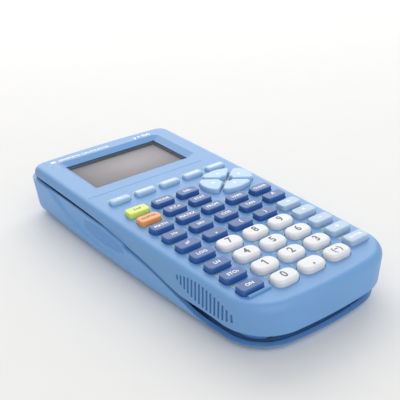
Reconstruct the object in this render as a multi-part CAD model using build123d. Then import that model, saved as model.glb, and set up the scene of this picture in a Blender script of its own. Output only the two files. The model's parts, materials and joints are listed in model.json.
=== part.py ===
from build123d import *
import math
import os

# Graphing calculator lying on its slide cover, which is fitted over the back.
#
# Two frames are used. The face frame has its origin on the key face, at the middle key of the
# fifth key row: x to the right, y towards the display end, z out of the face. The row frame has
# z up from the surface that the cover rests on. The face is tilted in it, display end up.
# Millimetres throughout.

# ---- driving dimensions -------------------------------------------------------------------
TILT = 1.43                 # slope of the face over the resting plane, degrees
FACE_HEIGHT = 24.45         # face-frame origin above the resting plane

COLUMN_PITCH = 13.9
FUNCTION_ROW_Y = 54.8
ROW_PITCH = 9.85
NUMBER_PITCH = 11.03
OPERATOR_PITCH = 10.1        # right-hand column, from the multiply key down

FACE_WALL = 1.6             # thickness of the front case's face
SIDE_WALL = 2.2             # thickness of the front case's sides
FACE_ROUND = 3.3            # outside radius between the face and the sides
SKIRT_DEPTH = 14.0          # depth at which the lower case outline is drawn

GROOVE_COUNT = 15           # grip grooves on each side near the front
GROOVE_WIDTH = 1.15
GROOVE_DEPTH = 0.9
GROOVE_LENGTH = 9.0         # the longest ones, in the middle of the field
GROOVE_FIRST_Y = -8.1
GROOVE_LAST_Y = -40.6
GROOVE_FIRST_Z = -5.5       # height of the grooves' middles, face frame
GROOVE_LAST_Z = -8.1

GUARD_MIDDLE = (-26.6, -43.5)    # raised bar in front of the ON key
GUARD_LENGTH = 10.6
GUARD_WIDTH = 1.3

KEY_CLEARANCE = 0.25        # between a key and its hole in the face
FLANGE_EXTRA = 0.6          # how far a key's flange reaches past its cap
FLANGE_TOP = -1.7
FLANGE_THICK = 0.6
MEMBRANE_TOP = -3.2
MEMBRANE_THICK = 0.4
DOME_GAP = 0.05             # between a dome and the flange above it
BOARD_TOP = -3.6
BOARD_THICK = 1.0

SCREEN_WIDTH = 54.8         # clear opening of the display
SCREEN_LOW = 78.2
SCREEN_HIGH = 111.7
SCREEN_DEPTH = 1.9          # the opening lies this far under the face
SCREEN_BLOCK = 3.1          # underside of the thicker wall round the display
RECESS_SIDE = 4.2           # width of the slope that leads down to the opening, on each side
RECESS_LOW = 3.2
RECESS_HIGH = 3.6
CREASE_Y = 67.0             # shallow crease across the face below the display
CREASE_LEFT = -38.0
CREASE_RIGHT = 28.0
CREASE_WIDTH = 0.9
CREASE_DEPTH = 0.08
WINDOW_THICK = 1.0
LCD_TOP = -3.9

COVER_FLOOR = 2.0
COVER_WALL = 2.0
COVER_ROUND = 7.0           # outside radius between the cover's floor and its walls
COVER_FLARE = 4.5           # outward lean of the cover's walls, degrees
REAR_FLOOR = 3.6            # underside of the rear case above the resting plane
REAR_WALL = 1.5
REAR_ROUND = 6.0
REAR_TOP = -5.2             # top edge of the rear case, in the face frame
BAY_WALL = 1.2
BAY_TOP = 12.4

RAIL_LOW = 9.4              # guide rails of the slide cover, in the row frame
RAIL_HIGH = 10.9
RAIL_START = 44.0
RAIL_END = 116.0
RAIL_INNER = 36.2           # half distance between the two rails' inner faces
RAIL_CLEARANCE = 0.3
RAIL_REACH = 42.0           # half width of the prism that the rails and their grooves are cut from

SCOOP_PLANE_X = 40.6        # flat bottom of the finger scoop, at the resting plane
SCOOP_EDGE = [(104.0, 23.0), (80.0, 10.9), (50.0, 7.2)]    # its slanted end, (y, z)
SCOOP_FRONT_Y = 24.0
SCOOP_SLOPE = 45            # slope of the scoop's edge, degrees
RIB_COUNT = 17              # fine slanted grooves in the scoop
RIB_WIDTH = 0.7
RIB_DEPTH = 0.35
RIB_FIRST_Y = 66.0
RIB_LAST_Y = 32.5
RIB_MIDDLE_Z = 14.2

SCREW_HEAD_R = 1.9
SCREW_HEAD_HEIGHT = 1.3
SCREW_SHANK_R = 1.0
SCREW_HEAD_FACE = 7.0       # underside of a screw head above the resting plane
MIDDLE_SCREW = (33.0, 48.4)
SCREW_SPOTS = [(sx * x, y) for x, y in ((33.2, 115.3), MIDDLE_SCREW, (26.0, -47.0)) for sx in (-1, 1)]
POST_R = 3.1
POST_TOP = 14.6             # height at which each rear post meets its front boss
BOSS_R = 2.4
BOSS_NOTCH_Y = -44.5         # the board and the membrane stop here beside the front bosses

CELL_R = 5.25               # AAA cell
CELL_LENGTH = 44.5
CELL_PITCH = 10.9
CELL_MIDDLE_Y = -22.2
CELL_MIDDLE_Z = 10.5
DOOR_THICK = 1.4
DOOR_HALF_WIDTH = 24.0
DOOR_LOW = -46.5
DOOR_HIGH = 2.0
DOOR_TRAVEL = 2.5

X_SPAN = 60.0               # half length of a cutting prism that runs across the whole case


# ---- frames -------------------------------------------------------------------------------
def to_row(shape):
    """Carry a face-frame shape into the row frame."""
    return shape.moved(Location((0, 0, FACE_HEIGHT), (TILT, 0, 0)))


def box_between(low, high):
    """A box from its lowest and highest corners."""
    size = [b - a for a, b in zip(low, high)]
    middle = [(a + b) / 2 for a, b in zip(low, high)]
    return Pos(*middle) * Box(*size)


def upright(x, y, radius, low, high):
    """A vertical cylinder from its lowest and highest ends."""
    return Pos(x, y, (low + high) / 2) * Cylinder(radius, high - low)


def across(edges):
    """A prism that runs across X from a closed profile drawn in (y, z)."""
    profile = Plane.YZ * make_face(edges)
    return extrude(profile, X_SPAN, both=True)


def outline(end_half, middle_half, front_half, end_y, front_y, end_bow, front_bow, end_round, front_round):
    """A case plan: bowed sides and ends between four rounded corners."""
    middle_y = (end_y + front_y) / 2
    end_left, end_right = (-end_half, end_y), (end_half, end_y)
    front_left, front_right = (-front_half, front_y), (front_half, front_y)
    edges = [
        ThreePointArc(end_left, (0, end_y + end_bow), end_right),
        ThreePointArc(end_right, (middle_half, middle_y), front_right),
        ThreePointArc(front_right, (0, front_y - front_bow), front_left),
        ThreePointArc(front_left, (-middle_half, middle_y), end_left),
    ]
    plan = make_face(edges)
    corners = plan.vertices().sort_by(Axis.Y)
    plan = fillet(corners[:2], front_round)
    corners = [v for v in plan.vertices() if v.Y > middle_y and abs(abs(v.X) - end_half) < 0.01]
    return fillet(corners, end_round)


# ---- key table ----------------------------------------------------------------------------
def key_table():
    """Every key as (name, style, x, y) in the face frame."""
    keys = []
    column = [COLUMN_PITCH * (c - 2) for c in range(5)]
    row = [ROW_PITCH * (5 - r) for r in range(10)]
    for name, x in zip(("y_equals", "window", "zoom", "trace", "graph"), column):
        keys.append((name, "function", x, FUNCTION_ROW_Y))
    blocks = (
        (1, (("second", "dark"), ("mode", "dark"), ("delete", "dark"))),
        (2, (("alpha", "dark"), ("variable", "dark"), ("statistics", "dark"))),
        (3, (("math", "dark"), ("matrix", "dark"), ("program", "dark"), ("variables", "dark"), ("clear", "dark"))),
        (4, (("reciprocal", "dark"), ("sin", "dark"), ("cos", "dark"), ("tan", "dark"), ("power", "dark"))),
        (5, (("square", "dark"), ("comma", "dark"), ("open_bracket", "dark"), ("close_bracket", "dark"),
             ("divide", "dark"))),
    )
    for r, names in blocks:
        for (name, style), x in zip(names, column):
            keys.append((name, style, x, row[r]))
    for r, name in zip(range(6, 10), ("log", "ln", "store", "on")):
        keys.append((name, "dark", column[0], row[r]))
    for i, name in enumerate(("multiply", "minus", "plus", "enter")):
        keys.append((name, "dark", column[4], row[6] - i * OPERATOR_PITCH))
    for i, names in enumerate((("7", "8", "9"), ("4", "5", "6"), ("1", "2", "3"), ("0", "point", "negate"))):
        for name, x in zip(names, column[1:4]):
            keys.append((name, "number", x, row[6] - i * NUMBER_PITCH))
    for name in ("up", "down", "left", "right"):
        keys.append((name, name, ARROW_X, ARROW_Y))
    return keys


ARROW_X = 22.2              # centre of the arrow pad
ARROW_Y = 38.2
ARROW_HALF_WIDTH = 13.6
ARROW_HALF_HEIGHT = 11.4
ARROW_INNER = 3.4
ARROW_GAP = 1.5

# cap width, cap depth, corner radius, height over the face, rounding of the top edge
KEY_STYLES = {
    "function": (10.6, 4.4, 1.6, 1.9, 0.9),
    "dark": (10.7, 5.9, 1.7, 2.4, 0.55),
    "number": (11.6, 7.9, 3.4, 2.5, 1.3),
    "arrow": (0.0, 0.0, 1.9, 2.2, 0.7),
}


def oval_point(half_width, half_height, angle):
    """A point on an oval about the arrow pad's centre, at an angle in degrees."""
    turn = math.radians(angle)
    return (half_width * math.cos(turn), half_height * math.sin(turn))


def petal_plan(direction, grow):
    """One quarter of the oval arrow pad, grown on every side by the given amount."""
    middle = {"right": 0, "up": 90, "left": 180, "down": 270}[direction]
    half_gap = ARROW_GAP / 2 - grow
    outer = (ARROW_HALF_WIDTH + grow, ARROW_HALF_HEIGHT + grow)
    inner = (ARROW_INNER - grow, ARROW_INNER * 0.85 - grow)
    spread_out = 45 - math.degrees(half_gap / ARROW_HALF_HEIGHT)
    spread_in = 45 - math.degrees(half_gap / ARROW_INNER)
    out_points = [oval_point(*outer, middle + k * spread_out) for k in (-1, 0, 1)]
    in_points = [oval_point(*inner, middle + k * spread_in) for k in (1, 0, -1)]
    edges = [
        ThreePointArc(*out_points),
        Line(out_points[2], in_points[0]),
        ThreePointArc(*in_points),
        Line(in_points[2], out_points[0]),
    ]
    petal = make_face(edges)
    corners = [v for v in petal.vertices() if math.hypot(v.X, v.Y) > ARROW_HALF_HEIGHT * 0.6]
    return fillet(corners, KEY_STYLES["arrow"][2] + grow)


def key_plan(style, grow=0.0):
    """Plan of a key, its hole or its flange, grown on every side by the given amount."""
    if style in ("up", "down", "left", "right"):
        return petal_plan(style, grow)
    width, depth, corner = KEY_STYLES[style][:3]
    return RectangleRounded(width + 2 * grow, depth + 2 * grow, corner + grow)


def make_key(style, x, y):
    """A key: cap with a rounded top edge, on a flange that keeps it behind the face."""
    height, rounding = KEY_STYLES.get(style, KEY_STYLES["arrow"])[3:]
    foot = FLANGE_TOP - FLANGE_THICK
    cap = Pos(0, 0, FLANGE_TOP - FLANGE_THICK / 2) * extrude(key_plan(style), height - foot - FLANGE_THICK / 2)
    cap = fillet(cap.faces().sort_by(Axis.Z)[-1].edges(), rounding)
    flange = Pos(0, 0, foot) * extrude(key_plan(style, FLANGE_EXTRA), FLANGE_THICK)
    return to_row(Pos(x, y, 0) * (cap + flange))


# ---- front case ---------------------------------------------------------------------------
def case_top_plan(shrink=0.0):
    """Outline of the key face, or a smaller one inside it."""
    return outline(41.9 - shrink, 40.4 - shrink, 37.2 - shrink, 124.1 - shrink, -53.0 + shrink,
                   1.6, 3.6, 7.0 - shrink, 16.5 - shrink)


def case_low_plan(shrink=0.0):
    """Outline of the case at the depth of its skirt."""
    return outline(42.6 - shrink, 41.3 - shrink, 37.9 - shrink, 124.8 - shrink, -53.2 + shrink,
                   1.6, 3.4, 8.0 - shrink, 22.0 - shrink)


# lower edge of the skirt in the face frame, (y, z)
PARTING = [(131, -4.6), (100, -4.2), (64, -4.5), (48, -5.3), (30, -7.3), (12, -9.5), (-2, -12.1),
           (-9, -13.1), (-20, -12.9), (-34, -12.8), (-46, -13.3), (-66, -13.5)]


def below_parting():
    """Everything under the front case's lower edge."""
    edge = Spline(*PARTING)
    first, last = PARTING[0], PARTING[-1]
    sides = [Line(last, (last[0], -30)), Line((last[0], -30), (first[0], -30)), Line((first[0], -30), first)]
    return across([edge] + sides)


def screen_recess():
    """Sloped recess that leads down to the display opening."""
    middle = (SCREEN_LOW + SCREEN_HIGH) / 2
    height = SCREEN_HIGH - SCREEN_LOW
    low = Pos(0, middle, -SCREEN_DEPTH) * RectangleRounded(SCREEN_WIDTH, height, 1.6)
    top_high, top_low = SCREEN_HIGH + RECESS_HIGH, SCREEN_LOW - RECESS_LOW
    high = RectangleRounded(SCREEN_WIDTH + 2 * RECESS_SIDE, top_high - top_low, 4.0)
    high = Pos(0, (top_high + top_low) / 2, 0.05) * high
    return loft([low.face(), high.face()])


def grip_grooves():
    """Short upright grooves in both side walls near the front corners, in lens-shaped fields."""
    grooves = []
    for i in range(GROOVE_COUNT):
        s = i / (GROOVE_COUNT - 1)
        y = GROOVE_FIRST_Y + (GROOVE_LAST_Y - GROOVE_FIRST_Y) * s
        z = GROOVE_FIRST_Z + (GROOVE_LAST_Z - GROOVE_FIRST_Z) * s
        half = GROOVE_LENGTH / 2 * math.sin(math.pi * (0.03 + 0.9 * s)) ** 0.6
        grooves.append(box_between((-X_SPAN, y - GROOVE_WIDTH / 2, z - half), (X_SPAN, y + GROOVE_WIDTH / 2, z + half)))
    core_low = Pos(0, 0, -SKIRT_DEPTH) * case_low_plan(GROOVE_DEPTH)
    core = loft([core_low.face(), case_top_plan(GROOVE_DEPTH).face()], ruled=True)
    return [groove - core for groove in grooves]


def make_front_case():
    """Front case: key face, tapering skirt, display recess, key holes and screw bosses."""
    low = Pos(0, 0, -SKIRT_DEPTH) * case_low_plan()
    body = loft([low.face(), case_top_plan().face()], ruled=True)
    body = fillet(body.faces().sort_by(Axis.Z)[-1].edges(), FACE_ROUND)
    hollow_low = Pos(0, 0, -SKIRT_DEPTH - 1) * case_low_plan(SIDE_WALL)
    hollow_top = Pos(0, 0, -FACE_WALL) * case_top_plan(SIDE_WALL + 0.8)
    body -= loft([hollow_low.face(), hollow_top.face()], ruled=True)
    body += box_between((-33.0, SCREEN_LOW - 6, -SCREEN_BLOCK), (33.0, SCREEN_HIGH + 6, -FACE_WALL + 0.2))
    body -= screen_recess()
    body -= box_between((-SCREEN_WIDTH / 2, SCREEN_LOW, -SCREEN_BLOCK - 1),
                        (SCREEN_WIDTH / 2, SCREEN_HIGH, -SCREEN_DEPTH + 0.3))
    window_low, window_high = window_corners(0.1)
    body -= box_between(window_low, (window_high[0], window_high[1], -SCREEN_DEPTH - 0.1))
    for name, style, x, y in key_table():
        hole = Pos(x, y, -FACE_WALL - 1) * extrude(key_plan(style, KEY_CLEARANCE), FACE_WALL + 2)
        body -= hole
    body -= box_between((CREASE_LEFT, CREASE_Y - CREASE_WIDTH / 2, -CREASE_DEPTH),
                        (CREASE_RIGHT, CREASE_Y + CREASE_WIDTH / 2, 1))
    guard = Pos(*GUARD_MIDDLE, 0.2) * Box(GUARD_LENGTH, GUARD_WIDTH, 1.8)
    body += fillet(guard.edges().filter_by(Axis.X).sort_by(Axis.Z)[-2:], 0.6)
    body -= below_parting()
    for groove in grip_grooves():
        body -= groove
    body = to_row(body)
    for x, y in SCREW_SPOTS:
        top = FACE_HEIGHT + y * math.sin(math.radians(TILT)) - 1.2
        body += upright(x, y, BOSS_R, POST_TOP + 0.05, top)
    for x, y in SCREW_SPOTS:
        body -= upright(x, y, SCREW_SHANK_R + 0.02, POST_TOP - 1, POST_TOP + 5.5)
    return body


def window_corners(extra):
    """Lowest and highest corners of the display window, with a margin on its edges."""
    half = SCREEN_WIDTH / 2 + 2.4 + extra
    low = (-half, SCREEN_LOW - 2.4 - extra, -SCREEN_DEPTH - 0.15 - WINDOW_THICK)
    high = (half, SCREEN_HIGH + 2.4 + extra, -SCREEN_DEPTH - 0.15)
    return low, high


# ---- display and electronics ----------------------------------------------------------------
def make_display_window():
    """Clear plate in the rebate under the display opening."""
    low, high = window_corners(0.0)
    plate = box_between(low, high)
    return to_row(fillet(plate.edges().filter_by(Axis.Z), 1.5))


def make_lcd_module():
    """Display module: frame, glass and its driver board, as separate solids."""
    middle = (SCREEN_LOW + SCREEN_HIGH) / 2
    frame_top = -SCREEN_BLOCK - 0.05
    frame = Pos(0, middle, (frame_top - 6.0) / 2) * Box(61.0, 41.5, 6.0 + frame_top)
    frame -= Pos(0, middle, 0) * Box(SCREEN_WIDTH + 0.6, SCREEN_HIGH - SCREEN_LOW + 0.6, 20)
    glass = Pos(0, middle, LCD_TOP - 0.9) * Box(SCREEN_WIDTH + 0.5, SCREEN_HIGH - SCREEN_LOW + 0.5, 1.8)
    board = Pos(0, middle, -6.55) * Box(60.0, 40.5, 1.0)
    chips = [Pos(x, middle - 8, -7.55) * Box(11.0, 7.0, 0.9) for x in (-15.0, 15.0)]
    return Compound([to_row(s) for s in (frame, glass, board, *chips)])


def make_circuit_board():
    """Main board with its chips, battery contacts and backup-cell clip."""
    board = box_between((-32.6, -49.5, BOARD_TOP - BOARD_THICK), (32.6, 71.0, BOARD_TOP))
    for sx in (-1, 1):
        board -= box_between((sx * 35 - 12, -55, -9), (sx * 35 + 12, BOSS_NOTCH_Y, 0))
        board -= Pos(sx * MIDDLE_SCREW[0], MIDDLE_SCREW[1], -5) * Cylinder(BOSS_R + 1.0, 8)
    under = BOARD_TOP - BOARD_THICK
    solids = [to_row(board)]
    chips = ((0, 55, 14, 14), (-19, 50, 9, 12), (18, 58, 8, 6), (0, 33, 18, 8))
    for x, y, width, depth in chips:
        solids.append(to_row(Pos(x, y, under - 0.8) * Box(width, depth, 1.6)))
    clip = Pos(22, 34, under - 1.0) * (Cylinder(10.4, 2.0) - Cylinder(9.0, 4.0))
    solids.append(to_row(clip))
    for i in range(4):
        x = CELL_PITCH * (i - 1.5)
        for sy in (-1, 1):
            y = CELL_MIDDLE_Y + sy * (CELL_LENGTH / 2 + 0.85)
            solids.append(box_between((x - 3.2, y - 0.25, 6.2), (x + 3.2, y + 0.25, 13.6)))
    return Compound(solids)


def make_key_membrane():
    """Rubber sheet with a dome under every key."""
    sheet = box_between((-32.4, -49.3, MEMBRANE_TOP - MEMBRANE_THICK), (32.4, 62.0, MEMBRANE_TOP))
    for sx in (-1, 1):
        sheet -= box_between((sx * 35 - 12, -55, -9), (sx * 35 + 12, BOSS_NOTCH_Y, 0))
        sheet -= Pos(sx * MIDDLE_SCREW[0], MIDDLE_SCREW[1], -5) * Cylinder(BOSS_R + 1.0, 8)
    dome_height = FLANGE_TOP - FLANGE_THICK - DOME_GAP - MEMBRANE_TOP
    for name, style, x, y in key_table():
        dx, dy = dome_offset(style)
        sheet += Pos(x + dx, y + dy, MEMBRANE_TOP + dome_height / 2) * Cone(2.3, 1.5, dome_height)
    return to_row(sheet)


def dome_offset(style):
    """Middle of a key's plan, measured from the point that the key table gives."""
    reach_x, reach_y = ARROW_HALF_WIDTH * 0.62, ARROW_HALF_HEIGHT * 0.62
    offsets = {"up": (0, reach_y), "down": (0, -reach_y), "left": (-reach_x, 0), "right": (reach_x, 0)}
    return offsets.get(style, (0, 0))


# ---- rear case ----------------------------------------------------------------------------
def rear_plan(shrink=0.0):
    """Outline of the rear case, or a smaller one inside it."""
    return outline(37.3 - shrink, 37.1 - shrink, 33.9 - shrink, 120.9 - shrink, -48.8 + shrink,
                   1.6, 3.2, 7.0 - shrink, 12.0 - shrink)


def above_rear_top():
    """Everything over the rear case's upper edge, in the row frame."""
    return to_row(box_between((-X_SPAN, -90, REAR_TOP), (X_SPAN, 160, REAR_TOP + 60)))


def rail_groove(side):
    """Groove along the rear case's side for the slide cover's rail, open at the display end."""
    inner = RAIL_INNER - RAIL_CLEARANCE - 0.2
    groove = box_between((inner, RAIL_START - RAIL_CLEARANCE - 0.2, RAIL_LOW - RAIL_CLEARANCE),
                         (RAIL_REACH, 140.0, RAIL_HIGH + RAIL_CLEARANCE))
    return groove if side > 0 else mirror(groove, Plane.YZ)


def make_rear_case():
    """Rear case: floor, walls, screw posts, battery bay and the cover's guide grooves."""
    body = Pos(0, 0, REAR_FLOOR) * extrude(rear_plan(), 30)
    body = fillet(body.faces().sort_by(Axis.Z)[0].edges(), REAR_ROUND)
    hollow = Pos(0, 0, REAR_FLOOR + REAR_WALL) * extrude(rear_plan(REAR_WALL), 30)
    hollow = fillet(hollow.faces().sort_by(Axis.Z)[0].edges(), REAR_ROUND - REAR_WALL)
    for sx in (-1, 1):
        hollow -= box_between((sx * 36.0 - 3.4, RAIL_START - 3, RAIL_LOW - 1.8),
                              (sx * 36.0 + 3.4, RAIL_END + 2, RAIL_HIGH + 1.5))
    for x, y in SCREW_SPOTS:
        hollow -= upright(x, y, POST_R, 0, POST_TOP)
    hollow -= battery_bay_walls()
    shell = body - hollow
    for sx in (-1, 1):
        shell -= rail_groove(sx)
    shell -= door_opening()
    for x, y in SCREW_SPOTS:
        shell -= upright(x, y, BOSS_R + 0.3, POST_TOP, 40)
        shell -= upright(x, y, SCREW_HEAD_R + 0.2, 0, SCREW_HEAD_FACE)
        shell -= upright(x, y, SCREW_SHANK_R + 0.15, 0, 40)
    return shell - above_rear_top()


def battery_bay_walls():
    """Four upright walls round the cells."""
    low_y = CELL_MIDDLE_Y - CELL_LENGTH / 2 - 1.4
    high_y = CELL_MIDDLE_Y + CELL_LENGTH / 2 + 1.4
    half = DOOR_HALF_WIDTH - 0.4
    outer = box_between((-half - BAY_WALL, low_y - BAY_WALL, 0), (half + BAY_WALL, high_y + BAY_WALL, BAY_TOP))
    return outer - box_between((-half, low_y, -1), (half, high_y, BAY_TOP + 1))


def door_opening():
    """Battery opening through the floor, with a rebate that the door slides in."""
    through = box_between((-DOOR_HALF_WIDTH + 2.0, DOOR_LOW + 1.2, 0), (DOOR_HALF_WIDTH - 2.0, DOOR_HIGH - 1.2, 6))
    rebate = box_between((-DOOR_HALF_WIDTH - 0.25, DOOR_LOW - 0.25, 0),
                         (DOOR_HALF_WIDTH + 0.25, DOOR_HIGH + 0.25 + DOOR_TRAVEL, REAR_FLOOR + 0.85))
    return through + rebate


def make_battery_door():
    """Battery door: a thin plate with a raised middle and a thumb grip."""
    plate = box_between((-DOOR_HALF_WIDTH, DOOR_LOW, REAR_FLOOR), (DOOR_HALF_WIDTH, DOOR_HIGH, REAR_FLOOR + 0.75))
    plate = fillet(plate.edges().filter_by(Axis.Z), 2.0)
    middle = box_between((-DOOR_HALF_WIDTH + 2.4, DOOR_LOW + 1.6, REAR_FLOOR + 0.5),
                         (DOOR_HALF_WIDTH - 2.4, DOOR_HIGH - 1.6 - DOOR_TRAVEL, REAR_FLOOR + DOOR_THICK))
    door = plate + middle
    for i in range(4):
        y = DOOR_HIGH - 5.0 - 1.8 * i
        door -= box_between((-8, y - 0.4, REAR_FLOOR - 1), (8, y + 0.4, REAR_FLOOR + 0.35))
    return door


def make_batteries():
    """Four AAA cells side by side and the coin cell that keeps the memory."""
    cells = []
    for i in range(4):
        turn = 180 if i % 2 else 0
        cell = Cylinder(CELL_R - 0.25, CELL_LENGTH - 1.0) + Pos(0, 0, CELL_LENGTH / 2 - 0.3) * Cylinder(1.9, 0.6)
        cell = fillet(cell.edges().filter_by(GeomType.CIRCLE).sort_by(Axis.Z)[:1], 0.6)
        spot = Pos(CELL_PITCH * (i - 1.5), CELL_MIDDLE_Y, CELL_MIDDLE_Z)
        cells.append(spot * Rot(-90, 0, 0) * Rot(turn, 0, 0) * cell)
    coin = Pos(22, 34, BOARD_TOP - BOARD_THICK - 1.0) * Cylinder(8.9, 1.8)
    cells.append(to_row(coin))
    return Compound(cells)


def make_case_screws():
    """Six self-tapping screws from the rear posts into the front bosses."""
    screws = []
    for x, y in SCREW_SPOTS:
        shank_end = POST_TOP + 5.0
        screw = upright(x, y, SCREW_SHANK_R, SCREW_HEAD_FACE - 0.5, shank_end)
        screw += upright(x, y, SCREW_HEAD_R, SCREW_HEAD_FACE - SCREW_HEAD_HEIGHT, SCREW_HEAD_FACE - 0.02)
        slot_low = SCREW_HEAD_FACE - SCREW_HEAD_HEIGHT - 1
        for turn in (0, 90):
            screw -= Pos(x, y, slot_low + 0.75) * Rot(0, 0, turn) * Box(2.2, 0.5, 1.5)
        screws.append(screw)
    return Compound(screws)


# ---- slide cover --------------------------------------------------------------------------
def cover_plan(shrink=0.0):
    """Outline of the slide cover, or a smaller one inside it."""
    return outline(41.3 - shrink, 40.9 - shrink, 35.9 - shrink, 126.0 - shrink, -50.5 + shrink,
                   2.0, 4.6, 8.0 - shrink, 21.0 - shrink)


# upper edge of the cover in the row frame, (y, z): level with the face, a small step, then a sweep
COVER_RIM_HIGH = [(134, 21.4), (78, 20.8), (48, 19.8), (32.5, 18.0), (30.5, 16.6)]
COVER_RIM_SWEEP = [(30.5, 16.6), (16, 14.9), (3, 12.0), (-4, 9.9), (-10, 7.9), (-16, 5.9), (-23, 4.2), (-38, 3.2)]


def above_rim():
    """Everything over the cover's upper edge."""
    last = COVER_RIM_SWEEP[-1]
    first = COVER_RIM_HIGH[0]
    flat_end = (-70, last[1])
    edges = [Line(a, b) for a, b in zip(COVER_RIM_HIGH, COVER_RIM_HIGH[1:])]
    edges.append(Spline(*COVER_RIM_SWEEP, tangents=[(-1, -0.08), (-1, 0)]))
    edges += [Line(last, flat_end), Line(flat_end, (-70, 40)), Line((-70, 40), (134, 40)), Line((134, 40), first)]
    return across(edges)


def make_slide_cover():
    """Slide cover: a tray with high sides round the display end and a low lip at the front."""
    body = extrude(cover_plan(), 26, taper=-COVER_FLARE)
    body = fillet(body.faces().sort_by(Axis.Z)[0].edges(), COVER_ROUND)
    hollow = Pos(0, 0, COVER_FLOOR) * extrude(cover_plan(COVER_WALL - 0.2), 26, taper=-COVER_FLARE)
    hollow = fillet(hollow.faces().sort_by(Axis.Z)[0].edges(), COVER_ROUND - COVER_WALL)
    shell = body - hollow
    inside = box_between((-RAIL_INNER, RAIL_START - 1, 0), (RAIL_INNER, RAIL_END + 1, 30))
    rails = box_between((-X_SPAN, RAIL_START, RAIL_LOW), (X_SPAN, RAIL_END, RAIL_HIGH)) - inside
    shell += rails & body
    for tool in (finger_scoop(), *scoop_ribs()):
        shell -= tool
        shell -= mirror(tool, Plane.YZ)
    return shell - above_rim()


def scoop_plane():
    """Flat bottom of the right-hand scoop: local x runs to the display end and local y runs up."""
    lean = math.radians(COVER_FLARE)
    return Plane((SCOOP_PLANE_X, 0, 0), x_dir=(0, 1, 0), z_dir=(math.cos(lean), 0, -math.sin(lean)))


def finger_scoop():
    """Shallow scoop along the cover's right-hand side, where the fingers push it off."""
    start, end = SCOOP_EDGE[0], SCOOP_EDGE[2]
    corners = [end, (SCOOP_FRONT_Y, end[1]), (SCOOP_FRONT_Y, 30), (start[0], 30), start]
    edges = [ThreePointArc(*SCOOP_EDGE)] + [Line(a, b) for a, b in zip(corners, corners[1:])]
    return extrude(scoop_plane() * make_face(edges), 6, taper=-SCOOP_SLOPE)


def scoop_ribs():
    """Fine grooves in the scoop's bottom, which lean over more and more towards the front."""
    ribs = []
    for i in range(RIB_COUNT):
        s = i / (RIB_COUNT - 1)
        y = RIB_FIRST_Y + (RIB_LAST_Y - RIB_FIRST_Y) * s
        length = 9.5 * math.sin(math.pi * (0.12 + 0.76 * s)) ** 0.7
        rib = Pos(y, RIB_MIDDLE_Z + 1.2 * s, 0) * Rot(0, 0, -12 - 30 * s) * Box(RIB_WIDTH, length, 2 * RIB_DEPTH)
        ribs.append(scoop_plane() * rib)
    return ribs


# ---- assembly -----------------------------------------------------------------------------
def build():
    """Every node of the calculator in the row frame, with the origin under its middle."""
    nodes = {
        "front_case": make_front_case(),
        "rear_case": make_rear_case(),
        "slide_cover": make_slide_cover(),
        "display_window": make_display_window(),
        "lcd_module": make_lcd_module(),
        "circuit_board": make_circuit_board(),
        "key_membrane": make_key_membrane(),
        "battery_door": make_battery_door(),
        "batteries": make_batteries(),
        "case_screws": make_case_screws(),
    }
    for name, style, x, y in key_table():
        nodes["key_" + name] = make_key(style, x, y)
    low = min(nodes[n].bounding_box().min.Y for n in ("front_case", "slide_cover"))
    high = max(nodes[n].bounding_box().max.Y for n in ("front_case", "slide_cover"))
    return {name: Pos(0, -(low + high) / 2, 0) * shape for name, shape in nodes.items()}


os.makedirs("parts", exist_ok=True)
for node, shape in build().items():
    export_step(shape, f"parts/{node}.step")
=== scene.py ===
import json
import math

import bmesh
import bpy
from mathutils import Euler, Matrix, Vector


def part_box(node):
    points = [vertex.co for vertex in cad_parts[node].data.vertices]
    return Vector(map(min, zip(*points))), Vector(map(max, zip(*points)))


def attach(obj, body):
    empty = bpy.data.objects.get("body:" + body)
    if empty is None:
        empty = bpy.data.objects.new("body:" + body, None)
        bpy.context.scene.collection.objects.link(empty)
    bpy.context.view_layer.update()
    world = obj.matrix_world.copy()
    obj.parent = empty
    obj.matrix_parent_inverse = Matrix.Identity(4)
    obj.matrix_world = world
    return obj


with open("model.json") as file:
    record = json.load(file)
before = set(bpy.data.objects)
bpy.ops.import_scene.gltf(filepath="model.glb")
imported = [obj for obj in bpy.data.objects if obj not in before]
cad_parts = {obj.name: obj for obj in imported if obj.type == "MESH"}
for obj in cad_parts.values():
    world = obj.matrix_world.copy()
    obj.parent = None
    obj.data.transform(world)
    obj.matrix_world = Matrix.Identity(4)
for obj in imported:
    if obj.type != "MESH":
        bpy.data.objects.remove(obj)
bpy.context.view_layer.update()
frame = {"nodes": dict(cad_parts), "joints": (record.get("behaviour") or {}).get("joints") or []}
MM = 0.001

# ---- the key face's own frame --------------------------------------------------------------
# Origin on the face under the bracket key in the middle column, x right, y to the display, z out.
# Sizes and places on the face are in millimetres.
KEY_HEIGHT = {"dark": 2.4, "number": 2.5, "function": 1.9, "arrow": 2.2}
KEY_ROUND = 0.55            # rounding of a dark key's top edge
KEY_FLANGE = 0.6            # how far a key's flange reaches past its cap


def find_face():
    """The key face's matrix in the row frame, from the bracket key's box and the axis of its press."""
    press = next(j for j in frame["joints"] if j["child"] == "key_open_bracket")
    tilt = math.asin(press["axis"][1])
    low, high = (Vector(c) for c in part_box("key_open_bracket"))
    half_depth = (high.y - low.y) / 2 - KEY_FLANGE * MM
    face_z = high.z - KEY_HEIGHT["dark"] * MM - (half_depth - KEY_ROUND * MM) * math.sin(tilt)
    origin = ((low.x + high.x) / 2, (low.y + high.y) / 2, face_z)
    return Matrix.Translation(origin) @ Matrix.Rotation(tilt, 4, "X")


FACE = find_face()


def on_face(x, y, z=0.0):
    """Matrix of a place on the face, given in face-frame millimetres."""
    return FACE @ Matrix.Translation((x * MM, y * MM, z * MM))


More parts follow.
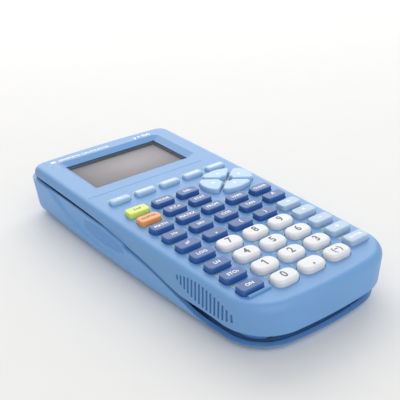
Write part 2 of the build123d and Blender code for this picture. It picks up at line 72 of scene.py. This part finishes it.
# ---- materials ------------------------------------------------------------------------------
MIX_A, MIX_B, MIX_RESULT = 6, 7, 2      # the colour sockets of a Mix node
CLOUD_SCALE = 60.0
CLOUD_DETAIL = 3.0
GRAIN_DETAIL = 2.0
GRAIN_DEPTH = 0.2 * MM
GLOSS_SPREAD = 0.06         # how far the roughness wanders to either side
SMOOTHEST = 0.02
SHEEN_START = 0.80             # upward part of the normal where the painted sheen on a key's top begins
SHEEN_FULL = 0.97              # and where the painted sheen is full
WINDOW_ALPHA = 0.05


def srgb(red, green, blue):
    """A display colour from 0 to 255 as linear values."""
    def channel(value):
        value /= 255
        return value / 12.92 if value <= 0.04045 else ((value + 0.055) / 1.055) ** 2.4
    return (channel(red), channel(green), channel(blue), 1.0)


def add_noise(tree, place, scale, detail):
    """A noise texture in object coordinates."""
    noise = tree.nodes.new("ShaderNodeTexNoise")
    noise.inputs["Scale"].default_value = scale
    noise.inputs["Detail"].default_value = detail
    tree.links.new(place.outputs["Object"], noise.inputs["Vector"])
    return noise


def finish_of(name, colour, rough=0.4, vary=0.05, grain=900.0, bump=0.05, specular=0.5, metal=0.0):
    """A moulded finish: base colour with faint mottling, uneven gloss and a fine grain."""
    material = bpy.data.materials.new(name)
    material.use_nodes = True
    tree = material.node_tree
    shader = tree.nodes["Principled BSDF"]
    shader.inputs["Metallic"].default_value = metal
    shader.inputs["Specular IOR Level"].default_value = specular
    place = tree.nodes.new("ShaderNodeTexCoord")
    cloud = add_noise(tree, place, CLOUD_SCALE, CLOUD_DETAIL)
    mix = tree.nodes.new("ShaderNodeMix")
    mix.data_type = "RGBA"
    mix.inputs[MIX_A].default_value = [c * (1 - vary) for c in colour[:3]] + [1.0]
    mix.inputs[MIX_B].default_value = [min(1.0, c * (1 + vary)) for c in colour[:3]] + [1.0]
    tree.links.new(cloud.outputs["Fac"], mix.inputs[0])
    tree.links.new(mix.outputs[MIX_RESULT], shader.inputs["Base Color"])
    speck = add_noise(tree, place, grain, GRAIN_DETAIL)
    span = tree.nodes.new("ShaderNodeMapRange")
    span.inputs["To Min"].default_value = max(SMOOTHEST, rough - GLOSS_SPREAD)
    span.inputs["To Max"].default_value = rough + GLOSS_SPREAD
    tree.links.new(speck.outputs["Fac"], span.inputs["Value"])
    tree.links.new(span.outputs["Result"], shader.inputs["Roughness"])
    relief = tree.nodes.new("ShaderNodeBump")
    relief.inputs["Strength"].default_value = bump
    relief.inputs["Distance"].default_value = GRAIN_DEPTH
    tree.links.new(speck.outputs["Fac"], relief.inputs["Height"])
    tree.links.new(relief.outputs["Normal"], shader.inputs["Normal"])
    return material


def sheen_topped_finish(name, top, side, rough=0.35, **kinds):
    """A key finish with a painted sheen: where the key faces up, its moulded colour gives way to a paler,
    greyer colour that stands in for light on its top.
    """
    material = finish_of(name, side, rough, **kinds)
    tree = material.node_tree
    shader = tree.nodes["Principled BSDF"]
    moulded = shader.inputs["Base Color"].links[0].from_socket
    facing = tree.nodes.new("ShaderNodeNewGeometry")
    split = tree.nodes.new("ShaderNodeSeparateXYZ")
    tree.links.new(facing.outputs["Normal"], split.inputs[0])
    # painted sheen: the mask grows as the normal turns upward, so the key's top takes the paler colour
    edge = tree.nodes.new("ShaderNodeMapRange")
    edge.inputs["From Min"].default_value = SHEEN_START
    edge.inputs["From Max"].default_value = SHEEN_FULL
    tree.links.new(split.outputs["Z"], edge.inputs["Value"])
    sheen_mix = tree.nodes.new("ShaderNodeMix")
    sheen_mix.data_type = "RGBA"
    tree.links.new(edge.outputs["Result"], sheen_mix.inputs[0])
    tree.links.new(moulded, sheen_mix.inputs[MIX_A])
    sheen_mix.inputs[MIX_B].default_value = top
    tree.links.new(sheen_mix.outputs[MIX_RESULT], shader.inputs["Base Color"])
    return material


def clear_window():
    """Slightly tinted clear plastic."""
    material = finish_of("window_clear", srgb(225, 230, 232), rough=0.5, bump=0.01, specular=0.1)
    shader = material.node_tree.nodes["Principled BSDF"]
    shader.inputs["Alpha"].default_value = WINDOW_ALPHA
    return material


CASE = finish_of("case_plastic", srgb(102, 152, 204), rough=0.42, vary=0.035, bump=0.05, specular=0.62)
# the cover is the case's blue made lighter: painted light for the brighter light falling on the cover
COVER_PAINTED_LIGHTER = finish_of("cover_plastic_painted_lighter", srgb(110, 162, 216), rough=0.42, vary=0.035, bump=0.06)
REAR = finish_of("rear_plastic", srgb(70, 116, 178), rough=0.5, bump=0.1)
# dark keys: moulded blue on the sides, a paler greyer blue on the tops as painted sheen
DARK_KEY_SHEENED = sheen_topped_finish("dark_key_plastic_painted_sheen", srgb(58, 94, 152), srgb(48, 92, 160), rough=0.36, bump=0.03)
NUMBER = finish_of("number_key_plastic", srgb(218, 220, 224), rough=0.34, vary=0.012, bump=0.03)
OPERATOR = finish_of("operator_key_plastic", srgb(172, 196, 218), rough=0.34, vary=0.02, bump=0.03)
FUNCTION = finish_of("function_key_plastic", srgb(164, 194, 224), rough=0.26, vary=0.02, bump=0.02)
ARROW = finish_of("arrow_key_plastic", srgb(166, 198, 230), rough=0.3, vary=0.02, bump=0.02)
LIME = finish_of("lime_key_plastic", srgb(212, 232, 112), rough=0.36, vary=0.02, bump=0.03)
ORANGE = finish_of("orange_key_plastic", srgb(238, 158, 92), rough=0.36, vary=0.02, bump=0.03)
INK_WHITE = finish_of("white_ink", srgb(236, 240, 246), rough=0.5, vary=0.02)
INK_DARK = finish_of("dark_ink", srgb(84, 86, 94), rough=0.5)
INK_LIME = finish_of("lime_ink", srgb(204, 214, 112), rough=0.5)
INK_ORANGE = finish_of("orange_ink", srgb(224, 164, 128), rough=0.5)
FRAME_BLACK = finish_of("screen_frame_black", srgb(16, 20, 30), rough=0.5)
LCD_GREY = finish_of("lcd_grey", srgb(166, 160, 164), rough=0.8, vary=0.02, specular=0.1)
BOARD = finish_of("board_green", srgb(24, 84, 52), rough=0.35, vary=0.2)
RUBBER = finish_of("membrane_rubber", srgb(170, 172, 178), rough=0.7)
SLEEVE = finish_of("cell_sleeve", srgb(60, 64, 74), rough=0.35, metal=0.3)
STEEL = finish_of("screw_steel", srgb(58, 62, 72), rough=0.4, metal=0.6)

NODE_FINISH = {
    "front_case": CASE, "rear_case": REAR, "slide_cover": COVER_PAINTED_LIGHTER, "battery_door": REAR,
    "display_window": clear_window(), "lcd_module": FRAME_BLACK, "circuit_board": BOARD,
    "key_membrane": RUBBER, "batteries": SLEEVE, "case_screws": STEEL,
    "key_second": LIME, "key_alpha": ORANGE,
}
STYLE_FINISH = {"number": NUMBER, "function": FUNCTION, "arrow": ARROW, "dark": DARK_KEY_SHEENED}
NUMBERS = [str(n) for n in range(10)] + ["point", "negate"]
OPERATORS = ["divide", "multiply", "minus", "plus", "enter"]
FUNCTIONS = ["y_equals", "window", "zoom", "trace", "graph"]
ARROWS = ["up", "down", "left", "right"]


def key_style(key):
    """Style of a key from its short name."""
    if key in NUMBERS:
        return "number"
    if key in FUNCTIONS:
        return "function"
    return "arrow" if key in ARROWS else "dark"


def key_finish(key):
    """Material of a key from its short name."""
    return OPERATOR if key in OPERATORS else STYLE_FINISH[key_style(key)]


def dress_cad_nodes():
    """Give every carried-over CAD node its finish."""
    for name, node in frame["nodes"].items():
        material = NODE_FINISH.get(name) or key_finish(name.removeprefix("key_"))
        if not node.data.materials:
            node.data.materials.append(material)
        for slot in node.material_slots:
            slot.material = material


# ---- pieces ---------------------------------------------------------------------------------
INK_THICK = 0.05
WELD = 1e-7                 # metres


def add_piece(name, bm, material, body, smooth=False):
    """A mesh piece that rides on a body and takes its finish from a material slot."""
    bmesh.ops.remove_doubles(bm, verts=bm.verts, dist=WELD)
    bmesh.ops.recalc_face_normals(bm, faces=bm.faces)
    mesh = bpy.data.meshes.new(name)
    bm.to_mesh(mesh)
    bm.free()
    for polygon in mesh.polygons:
        polygon.use_smooth = smooth
    piece = bpy.data.objects.new(name, mesh)
    bpy.context.scene.collection.objects.link(piece)
    mesh.materials.append(material)
    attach(piece, body)


def rectangle(half_width, half_height):
    """Outline of a rectangle round the origin."""
    return [(-half_width, -half_height), (half_width, -half_height),
            (half_width, half_height), (-half_width, half_height)]


def print_shape(bm, outline, matrix):
    """Add a printed shape to a mesh: a flat closed prism of an outline, centred on the matrix's plane."""
    layers = [[bm.verts.new(matrix @ Vector((x * MM, y * MM, z * MM))) for x, y in outline]
              for z in (-INK_THICK / 2, INK_THICK / 2)]
    bm.faces.new(layers[0][::-1])
    bm.faces.new(layers[1])
    for i in range(len(outline)):
        j = (i + 1) % len(outline)
        bm.faces.new((layers[0][i], layers[0][j], layers[1][j], layers[1][i]))


def print_words(bm, words, size, matrix, bold, width=1.0, align="CENTER"):
    """Add printed words to a mesh: thin letters set on the matrix's origin."""
    curve = bpy.data.curves.new("words", "FONT")
    curve.body = words
    curve.size = size * MM
    curve.align_x = align
    curve.align_y = "CENTER"
    curve.extrude = INK_THICK * MM / 2
    curve.offset = bold * MM
    curve.resolution_u = 2
    carrier = bpy.data.objects.new("words", curve)
    bpy.context.scene.collection.objects.link(carrier)
    mesh = bpy.data.meshes.new_from_object(carrier.evaluated_get(bpy.context.evaluated_depsgraph_get()))
    mesh.transform(matrix @ Matrix.Diagonal((width, 1, 1, 1)))
    bm.from_mesh(mesh)
    bpy.data.objects.remove(carrier)
    bpy.data.curves.remove(curve)
    bpy.data.meshes.remove(mesh)


# ---- legends --------------------------------------------------------------------------------
INK_SPREAD = 0.022          # how much bolder than the plain font a legend is, as a share of its size
WORD_SIZE = 2.45
DIGIT_SIZE = 5.6
DIGIT_WIDTH = 0.86          # width of a number key's legend as a share of the font's
PRINT_SIZE = 1.7            # the small prints on the face above the keys
PRINT_BOLD = 0.04
PRINT_RISE = 1.3            # from a key's box to the middle of the prints above it
PRINT_REACH = 0.38          # from a key's middle to its prints, as a share of its width

# key: (legend, legend size, print above at the left, letter above at the right)
LEGENDS = {
    "y_equals": ("Y=", 2.4, "PLOT", ""), "window": ("WINDOW", 2.1, "TABLE", ""),
    "zoom": ("ZOOM", 2.3, "FORM", ""), "trace": ("TRACE", 2.2, "CALC", ""),
    "graph": ("GRAPH", 2.2, "LIST", ""),
    "second": ("2nd", 2.6, "", ""), "mode": ("MODE", WORD_SIZE, "QUIT", ""),
    "delete": ("DEL", WORD_SIZE, "INS", ""),
    "alpha": ("ALPHA", WORD_SIZE, "LOCK", ""), "variable": ("X,T,n", WORD_SIZE, "LINK", ""),
    "statistics": ("STAT", WORD_SIZE, "LIST", ""),
    "math": ("MATH", WORD_SIZE, "TEST", "A"), "matrix": ("MATRX", WORD_SIZE, "ANGLE", "B"),
    "program": ("PRGM", WORD_SIZE, "DRAW", "C"), "variables": ("VARS", WORD_SIZE, "DIST", ""),
    "clear": ("CLEAR", WORD_SIZE, "", ""),
    "reciprocal": ("1/x", WORD_SIZE, "ABS", "D"), "sin": ("SIN", WORD_SIZE, "ASIN", "E"),
    "cos": ("COS", WORD_SIZE, "ACOS", "F"), "tan": ("TAN", WORD_SIZE, "ATAN", "G"),
    "power": ("^", 4.2, "PI", "H"), "square": ("x\u00b2", 2.8, "ROOT", "I"), "comma": (",", 4.4, "EE", "J"),
    "open_bracket": ("(", 3.2, "{", "K"),
    "close_bracket": (")", 3.2, "}", "L"), "divide": ("\u00f7", 4.2, "e", "M"),
    "log": ("LOG", WORD_SIZE, "10x", "N"), "ln": ("LN", WORD_SIZE, "ex", "S"),
    "store": ("STO\u203a", WORD_SIZE, "RCL", "X"), "on": ("ON", WORD_SIZE, "OFF", ""),
    "multiply": ("\u00d7", 3.8, "[", "R"), "minus": ("\u2212", 3.8, "]", "W"), "plus": ("+", 3.8, "MEM", ""),
    "enter": ("ENTER", 2.3, "ENTRY", ""),
    "7": ("7", DIGIT_SIZE, "u", "O"), "8": ("8", DIGIT_SIZE, "v", "P"), "9": ("9", DIGIT_SIZE, "w", "Q"),
    "4": ("4", DIGIT_SIZE, "L4", "T"), "5": ("5", DIGIT_SIZE, "L5", "U"), "6": ("6", DIGIT_SIZE, "L6", "V"),
    "1": ("1", DIGIT_SIZE, "L1", "Y"), "2": ("2", DIGIT_SIZE, "L2", "Z"), "3": ("3", DIGIT_SIZE, "L3", ""),
    "0": ("0", DIGIT_SIZE, "CAT", ""), "point": (".", 7.0, "i", ":"), "negate": ("(\u2212)", 4.4, "ANS", "?"),
}
ONE_OUTLINE = [(-0.15, -2.0), (0.55, -2.0), (0.55, 2.0), (0.0, 2.0),
               (-1.05, 1.25), (-0.8, 0.75), (-0.15, 1.1)]
POINTER = [(-0.75, -1.0), (0.95, 0.0), (-0.75, 1.0)]
POINTER_TURNS = (("right", 0), ("up", 90), ("left", 180), ("down", 270))
PAD_MARK = rectangle(0.9, 0.4)
PAD_MARKS = (               # name, place from the middle of the arrow pad, ink, slot
    ("pad_mark_orange", (1.0, 0.8), INK_ORANGE, "alpha_key"),
    ("pad_mark_lime", (-1.2, -0.8), INK_LIME, "second_key"),
)


def face_spot(point, height):
    """Matrix of a small drawing that lies at a height over the face, under a row-frame point."""
    local = FACE.inverted() @ Vector(point)
    return FACE @ Matrix.Translation((local.x, local.y, height * MM))


def print_legends():
    """White or dark legends on the key tops, and lime and orange ones on the case above the keys."""
    lime, orange = bmesh.new(), bmesh.new()
    for key, (words, size, second, letter) in LEGENDS.items():
        low, high = (Vector(c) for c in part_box("key_" + key))
        middle = (low + high) / 2
        style = key_style(key)
        pale = style == "number" or key in ("second", "alpha")
        bm = bmesh.new()
        width = DIGIT_WIDTH if style == "number" else 1.0
        spot = face_spot(middle, KEY_HEIGHT[style])
        if key == "1":
            print_shape(bm, ONE_OUTLINE, spot)
        else:
            print_words(bm, words, size, spot, bold=INK_SPREAD * size, width=width)
        add_piece("legend_" + key, bm, INK_DARK if pale else INK_WHITE, "key_" + key)
        above = (high.y - low.y) / 2 + PRINT_RISE * MM
        aside = PRINT_REACH * (high.x - low.x)
        if second:
            spot = face_spot(middle, 0.0) @ Matrix.Translation((-aside, above, 0))
            print_words(lime, second, PRINT_SIZE, spot, bold=PRINT_BOLD, align="LEFT")
        if letter:
            spot = face_spot(middle, 0.0) @ Matrix.Translation((aside, above, 0))
            print_words(orange, letter, PRINT_SIZE, spot, bold=PRINT_BOLD)
    add_piece("second_legends", lime, INK_LIME, "case")
    add_piece("letter_legends", orange, INK_ORANGE, "case")


def print_arrows():
    """A small pointer on each arrow key, and two marks in the middle of the arrow pad."""
    boxes = {k: [Vector(c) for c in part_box("key_" + k)] for k in ARROWS}
    centre = (boxes["left"][0] + boxes["right"][1]) / 2
    for key, turn in POINTER_TURNS:
        low, high = boxes[key]
        turned = Matrix.Rotation(math.radians(turn), 4, "Z")
        bm = bmesh.new()
        print_shape(bm, POINTER, face_spot((low + high) / 2, KEY_HEIGHT["arrow"]) @ turned)
        add_piece("pointer_" + key, bm, INK_WHITE, "key_" + key)
    for name, (dx, dy), ink, slot in PAD_MARKS:
        bm = bmesh.new()
        print_shape(bm, PAD_MARK, face_spot(centre, 0.0) @ Matrix.Translation((dx * MM, dy * MM, 0)))
        add_piece(name, bm, ink, "case")


# ---- display --------------------------------------------------------------------------------
WINDOW_MARGIN = 2.4         # the window plate reaches this far past the opening
WINDOW_BOTTOM = -3.05
BORDER_INSIDE = 0.9         # the black border covers this much of the clear opening, on every side
BORDER_OUTSIDE = 2.2
BORDER_TOP = WINDOW_BOTTOM - 0.01
BORDER_BOTTOM = WINDOW_BOTTOM - 0.08
LINER_TOP = WINDOW_BOTTOM - 0.09
LCD_TOP = -3.85
LCD_THICK = 0.6
LCD_MARGIN = 0.2            # the liner and the panel reach this far past the opening
LCD_EDGE = 0.15
PRINT_ABOVE_DISPLAY = 6.3   # from the opening to the middle of the bezel's prints
BEZEL_SQUARE = rectangle(1.3, 1.1)
BEZEL_SQUARE_X = -31.5
BEZEL_WORDS = (             # words, size, x, added boldness, alignment
    ("GRAPHING CALCULATOR", 2.6, -28.5, 0.09, "LEFT"),
    ("y = f(x)", 3.6, 23.5, 0.12, "CENTER"),
)


def display_opening():
    """Half width, low y and high y of the display opening in face-frame millimetres."""
    low, high = (FACE.inverted() @ Vector(c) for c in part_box("display_window"))
    return high.x / MM - WINDOW_MARGIN, low.y / MM + WINDOW_MARGIN, high.y / MM - WINDOW_MARGIN


def ring(inner, outer, bottom, top):
    """Mesh of a rectangular ring between two rectangles (half width, low y, high y), in the face frame."""
    bm = bmesh.new()
    loops = []
    for (half, low_y, high_y), z in ((inner, top), (outer, top), (outer, bottom), (inner, bottom)):
        corners = [(-half, low_y), (half, low_y), (half, high_y), (-half, high_y)]
        loops.append([bm.verts.new(on_face(x, y, z).translation) for x, y in corners])
    for a, b in zip(loops, loops[1:] + loops[:1]):
        for i in range(4):
            j = (i + 1) % 4
            bm.faces.new((a[i], a[j], b[j], b[i]))
    return bm


def make_display():
    """Black border printed under the window, the black liner below it and the grey panel."""
    half, low_y, high_y = display_opening()
    inner = (half - BORDER_INSIDE, low_y + BORDER_INSIDE, high_y - BORDER_INSIDE)
    outer = (half + BORDER_OUTSIDE, low_y - BORDER_OUTSIDE, high_y + BORDER_OUTSIDE)
    liner = (half + LCD_MARGIN, low_y - LCD_MARGIN, high_y + LCD_MARGIN)
    lcd_middle = LCD_TOP - LCD_THICK / 2
    border = ring(inner, outer, BORDER_BOTTOM, BORDER_TOP)
    add_piece("screen_border", border, FRAME_BLACK, "case")
    add_piece("screen_liner", ring(inner, liner, lcd_middle, LINER_TOP), FRAME_BLACK, "case")
    panel = bmesh.new()
    sides = (2 * (half + LCD_MARGIN) * MM, (high_y - low_y + 2 * LCD_MARGIN) * MM, LCD_THICK * MM, 1)
    middle = on_face(0, (low_y + high_y) / 2, lcd_middle)
    bmesh.ops.create_cube(panel, size=1.0, matrix=middle @ Matrix.Diagonal(sides))
    bmesh.ops.bevel(panel, geom=panel.edges[:], offset=LCD_EDGE * MM, segments=2, affect="EDGES")
    add_piece("lcd_panel", panel, LCD_GREY, "case", smooth=True)


def print_bezel():
    """Generic white prints on the bezel above the display."""
    y = display_opening()[2] + PRINT_ABOVE_DISPLAY
    bm = bmesh.new()
    print_shape(bm, BEZEL_SQUARE, on_face(BEZEL_SQUARE_X, y))
    for words, size, x, bold, align in BEZEL_WORDS:
        print_words(bm, words, size, on_face(x, y), bold=bold, align=align)
    add_piece("bezel_print", bm, INK_WHITE, "case")


# ---- setting, in metres ----------------------------------------------------------------------
FLOOR_REACH = 3.0
FLOOR_DROP = 0.3 * MM       # clear of the cover's underside
DAYLIGHT = (1.0, 0.995, 0.99, 1.0)
DAYLIGHT_STRENGTH = 0.66
LIGHTS = (                  # name, place, side, power in watts, colour
    ("window_light", (0.75, 1.20, 0.82), 2.1, 25.0, (1.0, 0.995, 0.98)),
    ("fill_light", (-0.30, -1.65, 1.2), 2.2, 17.0, (1.0, 1.0, 1.0)),
)
CAMERA_PLACE = (-0.16639, -0.24885, 0.16871)
CAMERA_TURN = (64.058, 3.560, -36.278)  # degrees
CAMERA_LENS = 63.76         # millimetres, for the sensor below
CAMERA_SENSOR = 36.0


def make_floor():
    """A wide pale floor just under the object."""
    bm = bmesh.new()
    bmesh.ops.create_grid(bm, x_segments=1, y_segments=1, size=FLOOR_REACH)
    mesh = bpy.data.meshes.new("floor")
    bm.to_mesh(mesh)
    bm.free()
    floor = bpy.data.objects.new("floor", mesh)
    bpy.context.scene.collection.objects.link(floor)
    pale = finish_of("pale_floor", srgb(230, 230, 229), rough=0.8, vary=0.01, grain=300.0, specular=0.1)
    mesh.materials.append(pale)
    floor.location.z = -FLOOR_DROP


def make_light():
    """Pale daylight all round and two soft square lights aimed at the object."""
    world = bpy.data.worlds.new("studio")
    world.use_nodes = True
    daylight = world.node_tree.nodes["Background"]
    daylight.inputs["Color"].default_value = DAYLIGHT
    daylight.inputs["Strength"].default_value = DAYLIGHT_STRENGTH
    bpy.context.scene.world = world
    for name, place, side, power, colour in LIGHTS:
        lamp = bpy.data.lights.new(name, "AREA")
        lamp.shape = "SQUARE"
        lamp.size = side
        lamp.energy = power
        lamp.color = colour
        holder = bpy.data.objects.new(name, lamp)
        holder.location = place
        holder.rotation_euler = (-Vector(place)).to_track_quat("-Z", "Y").to_euler()
        bpy.context.scene.collection.objects.link(holder)


def make_camera():
    """A camera that stands where the photograph's did, with plain colours."""
    camera_data = bpy.data.cameras.new("camera")
    camera_data.lens = CAMERA_LENS
    camera_data.sensor_width = CAMERA_SENSOR
    camera = bpy.data.objects.new("camera", camera_data)
    camera.location = CAMERA_PLACE
    camera.rotation_euler = Euler([math.radians(a) for a in CAMERA_TURN], "XYZ")
    bpy.context.scene.collection.objects.link(camera)
    bpy.context.scene.camera = camera
    bpy.context.scene.view_settings.view_transform = "Standard"


dress_cad_nodes()
print_legends()
print_arrows()
make_display()
print_bezel()
make_floor()
make_light()
make_camera()
